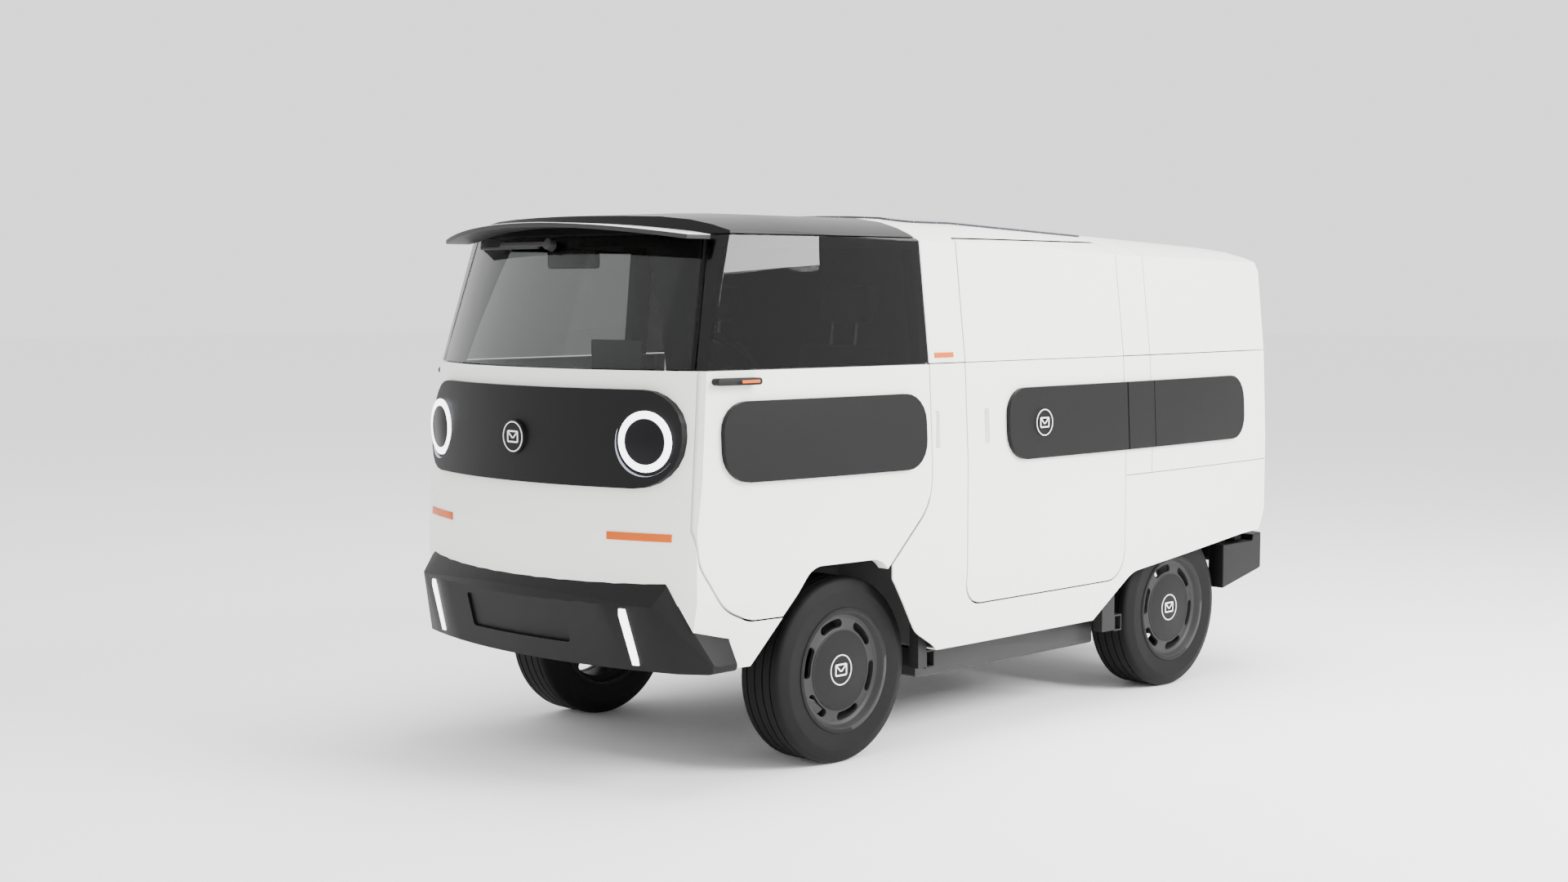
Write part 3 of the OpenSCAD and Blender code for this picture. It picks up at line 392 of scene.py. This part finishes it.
# ---------- pads, mask and bumpers ----------
# Moulded charcoal plastic with a fine leather-like grain, clipped onto the panels; each has a
# generous radius all round, and the mask carries the lamps.
CHARCOAL = finish("charcoal_plastic", (0.0062, 0.0062, 0.0064), (0.0042, 0.0042, 0.0044), 0.42,
                  grain=1400, bump=0.35, depth=0.0006, patch=2.5, spread=0.1, dust=0.01,
                  Specular_IOR_Level=0.14)
PADS = {
    "tail_pads": (0.007, 3), "door_pad_left": (0.007, 3),
    "door_pad_right": (0.007, 3), "side_door_pad_left": (0.007, 3),
    "side_door_pad_right": (0.007, 3), "tail_mask": (0.002, 2), "front_bumper": (0.006, 3),
    "rear_bumper": (0.006, 3),
}
for node, (radius, segments) in PADS.items():
    place_piece(node + "_moulding", clean_copy(node, radius, segments), node, [CHARCOAL])

# ---------- glass, pillars and roof ----------
# Bonded tinted glass with black pillars behind it, a gloss black cab roof and a solar panel
# with a grid of cells on the load bay.
GLASS = finish("tinted_glass", (0.42, 0.43, 0.43), (0.40, 0.41, 0.41), 0.0, spread=0.003, bump=0,
               Transmission_Weight=1.0, IOR=1.3)
SIDE_GLASS = finish("side_glass", (0.20, 0.205, 0.205), (0.18, 0.185, 0.185), 0.0, spread=0.003,
                    bump=0, Transmission_Weight=1.0, IOR=1.3)
GLOSS_BLACK = finish("gloss_black", (0.006, 0.006, 0.006), (0.004, 0.004, 0.004), 0.24,
                     grain=700, bump=0.03, Specular_IOR_Level=0.16)
TRIM_BLACK = finish("trim_black", (0.008, 0.008, 0.008), (0.005, 0.005, 0.005), 0.5,
                    grain=900, bump=0.25, Specular_IOR_Level=0.2)
place_piece("windscreen_glass", clean_copy("windscreen", 0.001, 1), "windscreen", [GLASS])
for side in ("left", "right"):
    node = "door_glass_" + side
    place_piece(node + "_pane", clean_copy(node, 0.001, 1), node, [SIDE_GLASS])
place_piece("cab_pillars", clean_copy("cab_frame", 0.002, 2), "cab_frame", [TRIM_BLACK])
place_piece("cab_roof_skin", clean_copy("cab_roof", 0.0012, 2), "cab_roof", [GLOSS_BLACK])


# ---------- visor and wiper ----------
# A thin sun visor over the windscreen, white and glossy on top and dark beneath, with one
# wiper hanging under it from a pivot at the middle.
VISOR_TOP = finish("visor_white", (0.80, 0.80, 0.79), (0.76, 0.76, 0.75), 0.2, grain=800,
                   bump=0.03, Coat_Weight=0.5, Coat_Roughness=0.05)
VISOR_UNDER = finish("visor_under", (0.03, 0.03, 0.03), (0.02, 0.02, 0.02), 0.5, grain=900,
                     bump=0.15, Specular_IOR_Level=0.2)
visor = clean_copy("visor", 0.0015, 2)
for face in visor.faces:
    face.material_index = 0 if face.normal.z > 0.35 else 1
place_piece("visor_blade", visor, "visor", [VISOR_TOP, VISOR_UNDER], on_walls=False)
RUBBER = finish("soft_rubber", (0.018, 0.018, 0.018), (0.012, 0.012, 0.012), 0.62, grain=600,
                bump=0.3)
place_piece("wiper_arm", clean_copy("wiper", 0.001, 2), "wiper", [RUBBER], on_walls=False)

# ---------- solar panel ----------
# Dark cells under a gloss film, bonded into the load bay's roof; pale lines part the cells.
CELLS = finish("solar_cells", (0.010, 0.012, 0.022), (0.006, 0.007, 0.014), 0.12, patch=6,
               spread=0.06, bump=0.02, Coat_Weight=1.0, Coat_Roughness=0.03)


def brick_lines(material, across, along, mortar, tone):
    """Parts a finish into square cells with fine lines between them."""
    nodes, join = material.node_tree.nodes, material.node_tree.links.new
    shader = nodes["Principled BSDF"]
    place = nodes.new("ShaderNodeTexCoord")
    cells = nodes.new("ShaderNodeTexBrick")
    cells.offset = 0
    cells.inputs["Scale"].default_value = 1
    cells.inputs["Brick Width"].default_value = across
    cells.inputs["Row Height"].default_value = along
    cells.inputs["Mortar Size"].default_value = mortar
    join(place.outputs["Object"], cells.inputs["Vector"])
    base = shader.inputs["Base Color"].links[0].from_socket
    mixed = nodes.new("ShaderNodeMix")
    mixed.data_type = "RGBA"
    mixed.inputs["B"].default_value = (*tone, 1)
    join(cells.outputs["Fac"], mixed.inputs["Factor"])
    join(base, mixed.inputs["A"])
    join(mixed.outputs["Result"], shader.inputs["Base Color"])


brick_lines(CELLS, 0.125, 0.125, 0.0016, (0.10, 0.11, 0.13))
place_piece("solar_cells_film", clean_copy("solar_panel", 0.001, 2), "solar_panel", [CELLS])

# ---------- lamps ----------
# Ring headlamps sunk into the mask: a luminous ring of light guide round a dark lens in a bezel with
# a faint painted glow; slim light guides stand in the bumper's ends; the indicators are amber lenses.
LENS = finish("dark_lens", (0.006, 0.006, 0.007), (0.004, 0.004, 0.005), 0.22, bump=0,
              Specular_IOR_Level=0.12)
GUIDE = finish("light_guide", (0.95, 0.95, 1.0), (0.90, 0.90, 0.97), 0.3, grain=300, bump=0.1,
               Emission_Color=(0.93, 0.94, 1.0, 1), Emission_Strength=4.0)
AMBER = finish("amber_lens", (0.60, 0.105, 0.002), (0.48, 0.075, 0.0015), 0.35, grain=350, bump=0.3,
               Specular_IOR_Level=0.2)
RED = finish("red_lens", (0.16, 0.002, 0.002), (0.10, 0.001, 0.001), 0.3, grain=350, bump=0.3,
             Specular_IOR_Level=0.2)
# Painted glow: the bezel round each headlamp is no lamp, yet its faint bluish emission makes it shine.
BEZEL_PAINTED_GLOW = finish("lamp_bezel_painted_glow", (0.55, 0.56, 0.66), (0.42, 0.43, 0.52), 0.28, grain=500, bump=0.15,
               Metallic=0.6, Emission_Color=(0.75, 0.78, 1.0, 1), Emission_Strength=0.25)


LAMP_TURN = math.radians(17)


def lamp_radius(point):
    """Distance of a point from the axis of the nearer headlamp."""
    away = Vector((abs(point.x) - 0.545, point.y - (FRONT_AXLE - 0.763), point.z - 1.151))
    axis = Vector((-math.sin(LAMP_TURN), math.cos(LAMP_TURN), 0))
    return (away - axis * away.dot(axis)).length


front_lamps = clean_copy("front_lamps", 0.0015, 2)
for face in front_lamps.faces:
    if max(lamp_radius(v.co) for v in face.verts) < 0.0752:
        face.material_index = 1
mask = clean_copy("front_mask", 0.009, 4)
for face in mask.faces:
    spread = [lamp_radius(v.co) for v in face.verts]
    if 0.1 < min(spread) and max(spread) < 0.1145:
        face.material_index = 1
place_piece("front_mask_moulding", mask, "front_mask", [CHARCOAL, BEZEL_PAINTED_GLOW])
place_piece("front_lamp_lenses", front_lamps, "front_lamps", [GUIDE, LENS], on_walls=False)
place_piece("amber_lenses", clean_copy("signal_lamps", 0.0012, 2), "signal_lamps", [AMBER],
            on_walls=False)
place_piece("tail_lamp_lenses", clean_copy("tail_lamps", 0.0015, 2), "tail_lamps", [RED],
            on_walls=False)

for side in ("left", "right"):
    node = "camera_pod_" + side
    low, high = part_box(node)
    place_piece(node + "_case", clean_copy(node, 0.003, 3), node, [TRIM_BLACK], on_walls=False)
    outer = high.x if side == "left" else low.x
    strip = bmesh.new()
    long = (high.y - low.y) * 0.46
    bmesh.ops.create_cube(strip, size=1, matrix=Matrix.Translation(
        (outer, high.y - 0.012 - long / 2, (low.z + high.z) / 2)) @ Matrix.Diagonal(
            (0.0024, long, (high.z - low.z) * 0.42, 1)))
    bmesh.ops.bevel(strip, geom=strip.edges[:], offset=0.001, segments=3, affect="EDGES")
    lens = place_piece("pod_lens_" + side, strip, None, [AMBER], on_walls=False)
    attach(lens, "door_" + side)

# ---------- cab interior ----------
# Moulded dark dashboard, wheel, mirror and trim; two seats covered in woven cloth; bare
# metal pedals.
CABIN = finish("cabin_plastic", (0.024, 0.024, 0.025), (0.016, 0.016, 0.0165), 0.5, grain=1000,
               bump=0.35)
CLOTH = finish("seat_cloth", (0.09, 0.09, 0.095), (0.055, 0.055, 0.06), 0.85, grain=1600,
               bump=0.6, depth=0.001, Sheen_Weight=0.4)
STEEL = finish("bright_steel", (0.55, 0.55, 0.55), (0.42, 0.42, 0.43), 0.32, grain=500, bump=0.1,
               Metallic=0.9)
FRAME_PAINT = finish("frame_paint", (0.014, 0.014, 0.0145), (0.009, 0.009, 0.0095), 0.5, grain=350,
                     bump=0.25, dust=0.02, Specular_IOR_Level=0.2)
for node, radius, item in (
        ("dashboard", 0.012, CABIN), ("steering_wheel", 0, CABIN), ("interior_mirror", 0.004, CABIN),
        ("brake_pedal", 0.002, STEEL), ("accelerator_pedal", 0.002, STEEL),
        ("steering_rack", 0, STEEL)):
    place_piece(node + "_part", clean_copy(node, radius, 3), node, [item], on_walls=False)

# ---------- chassis, axles and springs ----------
# Welded box-section rails and links in satin black paint with road dust, an aluminium battery case
# between them coloured near black as painted shade under the body, and black coil springs round the
# struts.
# Painted shade: the battery case is coloured near black to stand in for the shadow under the body
# between the sills.
BATTERY_IN_PAINTED_SHADE = finish("battery_case", (0.020, 0.020, 0.021), (0.014, 0.014, 0.0145), 0.5, grain=250,
                 bump=0.15, Metallic=0.3, dust=0.02)
for node, radius, item in (
        ("chassis_frame", 0, FRAME_PAINT), ("battery_pack", 0.004, BATTERY_IN_PAINTED_SHADE),
        ("rear_axle", 0, FRAME_PAINT), ("rear_springs", 0, FRAME_PAINT),
        ("strut_left", 0, FRAME_PAINT), ("strut_right", 0, FRAME_PAINT),
        ("spring_left", 0, FRAME_PAINT), ("spring_right", 0, FRAME_PAINT),
        ("knuckle_left", 0, FRAME_PAINT), ("knuckle_right", 0, FRAME_PAINT)):
    place_piece(node + "_part", clean_copy(node, radius, 2), node, [item], on_walls=False)

# ---------- wheels ----------
# Grooved tyres of carbon-black rubber on satin grey pressed wheels, whose flat caps are darker.
TYRE = finish("tyre_rubber", (0.0055, 0.0055, 0.0057), (0.0035, 0.0035, 0.0037), 0.62, grain=500,
              bump=0.3, depth=0.0006, patch=6, Specular_IOR_Level=0.14)
DISC = finish("wheel_disc", (0.025, 0.025, 0.025), (0.019, 0.019, 0.0193), 0.45, grain=900,
              bump=0.2, Specular_IOR_Level=0.2)
CAP = finish("wheel_cap", (0.006, 0.006, 0.0062), (0.0042, 0.0042, 0.0044), 0.42, grain=900,
             bump=0.2, Specular_IOR_Level=0.14)
BADGE = finish("badge_white", (0.85, 0.85, 0.84), (0.80, 0.80, 0.79), 0.35, grain=900, bump=0.1)
for end, sides in (("front", ("left", "right")), ("rear", ("left", "right"))):
    for side in sides:
        tyre = "tyre_%s_%s" % (end, side)
        place_piece(tyre + "_rubber", clean_copy(tyre, 0, 1), tyre, [TYRE], smooth=40,
                    on_walls=False)
        rim = "rim_%s_%s" % (end, side)
        low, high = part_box(rim)
        middle = (low + high) / 2
        mesh = clean_copy(rim, 0.002, 2)
        for face in mesh.faces:
            away = face.calc_center_median() - middle
            face.material_index = 1 if math.hypot(away.y, away.z) < 0.139 else 0
        place_piece(rim + "_wheel", mesh, rim, [DISC, CAP], on_walls=False)

# ---------- badges ----------
# A plain envelope in a ring, moulded white, glued to the mask, the long side pads and the
# wheel caps.


def badge(name, centre, outward, radius, body):
    """A ring and an envelope of thin raised strips, facing outward."""
    out = Vector(outward).normalized()
    side = Vector((0, 0, 1)).cross(out).normalized()
    up = out.cross(side)
    mesh = bmesh.new()

    def strip(points, width, closed):
        count = len(points)
        rows = []
        for index, (a, b) in enumerate(points):
            before = points[index - 1] if closed or index else points[index]
            after = points[(index + 1) % count] if closed or index < count - 1 else points[index]
            run = Vector((after[0] - before[0], after[1] - before[1])).normalized()
            edge = Vector((-run.y, run.x)) * width / 2
            row = []
            for sign, lift in ((1, 0), (1, 0.0012), (-1, 0.0012), (-1, 0)):
                row.append(mesh.verts.new(Vector(centre) + side * (a + sign * edge.x)
                                          + up * (b + sign * edge.y) + out * lift))
            rows.append(row)
        pairs = list(zip(rows, rows[1:])) + ([(rows[-1], rows[0])] if closed else [])
        for first, second in pairs:
            for k in range(4):
                mesh.faces.new((first[k], first[(k + 1) % 4], second[(k + 1) % 4], second[k]))

    strip([(radius * math.cos(a), radius * math.sin(a))
           for a in np.linspace(0, 2 * math.pi, 96, endpoint=False)], radius * 0.075, True)
    w, h = radius * 0.52, radius * 0.36
    corner = radius * 0.07
    frame_line = []
    for cx, cy, start in ((w, h, 0), (-w, h, 90), (-w, -h, 180), (w, -h, 270)):
        for step in range(5):
            turn = math.radians(start + step * 22.5)
            frame_line.append((cx - math.copysign(corner, cx) + corner * math.cos(turn),
                               cy - math.copysign(corner, cy) + corner * math.sin(turn)))
    strip(frame_line, radius * 0.11, True)
    strip([(-w + corner, h - corner), (-w * 0.12, -h * 0.22), (w * 0.12, -h * 0.22),
           (w - corner, h - corner)], radius * 0.10, False)
    bmesh.ops.recalc_face_normals(mesh, faces=mesh.faces)
    data = bpy.data.meshes.new(name)
    mesh.to_mesh(data)
    mesh.free()
    data.materials.append(BADGE)
    piece = link(name, data)
    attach(piece, body)


badge("mask_badge", (0, FRONT_AXLE - 0.816 - 0.0582, 1.147), (0, -1, 0), 0.050, "body")
for side, sign in (("left", 1), ("right", -1)):
    pad = frame["nodes"]["side_door_pad_" + side].data
    spot = max((v.co for v in pad.vertices if abs(v.co.y - 0.0575) < 0.4 and abs(v.co.z - 1.147) < 0.2),
               key=lambda co: sign * co.x)
    badge("pad_badge_" + side, (spot.x + sign * 0.0006, 0.0575, 1.147), (sign, 0, 0.02), 0.048,
          "side_door_" + side)
    for end in ("front", "rear"):
        rim = "rim_%s_%s" % (end, side)
        low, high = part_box(rim)
        middle = (low + high) / 2
        reach = max((v.co for v in frame["nodes"][rim].data.vertices
                     if math.hypot(v.co.y - middle.y, v.co.z - middle.z) < 0.1385),
                    key=lambda co: sign * co.x).x
        badge("cap_badge_%s_%s" % (end, side), (reach + sign * 0.0004, middle.y, middle.z),
              (sign, 0, 0), 0.052, "wheel_%s_%s" % (end, side))

# ---------- seats ----------
# Two foam seats in woven cloth: each cushion, backrest and headrest is a stuffed shape blown up
# by a cloth simulation and held on two metal runners.


def cushion(name, size, centre, tilt, body, node=None):
    """A block of foam: a rounded box, filled by cloth pressure and smoothed."""
    mesh = bmesh.new()
    bmesh.ops.create_cube(mesh, size=1)
    bmesh.ops.scale(mesh, vec=size, verts=mesh.verts)
    bmesh.ops.bevel(mesh, geom=mesh.edges[:], offset=min(size) * 0.3, segments=4, profile=0.5,
                    affect="EDGES", clamp_overlap=True)
    bmesh.ops.transform(mesh, verts=mesh.verts,
                        matrix=Matrix.Translation(centre) @ Matrix.Rotation(tilt, 4, "X"))
    data = bpy.data.meshes.new(name)
    mesh.to_mesh(data)
    mesh.free()
    data.materials.append(CLOTH)
    piece = link(name, data)
    bpy.context.view_layer.objects.active = piece
    for other in bpy.context.selected_objects:
        other.select_set(False)
    piece.select_set(True)
    remesh = piece.modifiers.new("remesh", "REMESH")
    remesh.mode = "VOXEL"
    remesh.voxel_size = 0.011
    bpy.ops.object.modifier_apply(modifier="remesh")
    rest = [v.co.copy() for v in piece.data.vertices]
    cloth = piece.modifiers.new("cloth", "CLOTH")
    cloth.settings.quality = 5
    cloth.settings.use_pressure = True
    cloth.settings.uniform_pressure_force = 4
    cloth.settings.effector_weights.gravity = 0
    cloth.point_cache.frame_start = 1
    cloth.point_cache.frame_end = 20
    for number in range(1, 21):
        bpy.context.scene.frame_set(number)
    bpy.ops.object.modifier_apply(modifier="cloth")
    bpy.context.scene.frame_set(1)
    for vertex, home in zip(piece.data.vertices, rest):
        step = vertex.co - home
        if step.length > 0.008:
            vertex.co = home + step.normalized() * 0.008
    smooth = piece.modifiers.new("smooth", "SUBSURF")
    smooth.levels = smooth.render_levels = 1
    piece.data.shade_smooth()
    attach(piece, body)
    if node:
        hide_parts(node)


for side, sign in (("left", 1), ("right", -1)):
    body, node = "seat_" + side, "seat_" + side
    x, y, z = sign * 0.36, FRONT_AXLE + 0.12, 0.88
    lean = math.radians(-8)
    base = Vector((x, y + 0.185, z + 0.02))
    turn = Matrix.Rotation(lean, 3, "X")
    cushion("seat_cushion_" + side, (0.415, 0.415, 0.098), (x, y - 0.015, z), 0, body, node)
    cushion("seat_back_" + side, (0.395, 0.094, 0.525), base + turn @ Vector((0, 0.002, 0.29)), lean,
            body)
    cushion("head_rest_" + side, (0.235, 0.08, 0.138), base + turn @ Vector((0, 0, 0.695)), lean,
            body)
    metal = bmesh.new()
    for off in (-0.15, 0.15):
        bmesh.ops.create_cube(metal, size=1, matrix=Matrix.Translation((x + off, y - 0.01, 0.816))
                              @ Matrix.Diagonal((0.03, 0.34, 0.025, 1)))
    for off in (-0.06, 0.06):
        place = Matrix.Translation(base + turn @ Vector((off, 0, 0.59))) @ turn.to_4x4()
        bmesh.ops.create_cone(metal, cap_ends=True, segments=24, radius1=0.007, radius2=0.007,
                              depth=0.12, matrix=place)
    bmesh.ops.bevel(metal, geom=[e for e in metal.edges if e.calc_face_angle(0) > 0.6],
                    offset=0.0015, segments=2, affect="EDGES", clamp_overlap=True)
    metal_piece = place_piece("seat_metal_" + side, metal, None, [STEEL], on_walls=False)
    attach(metal_piece, body)
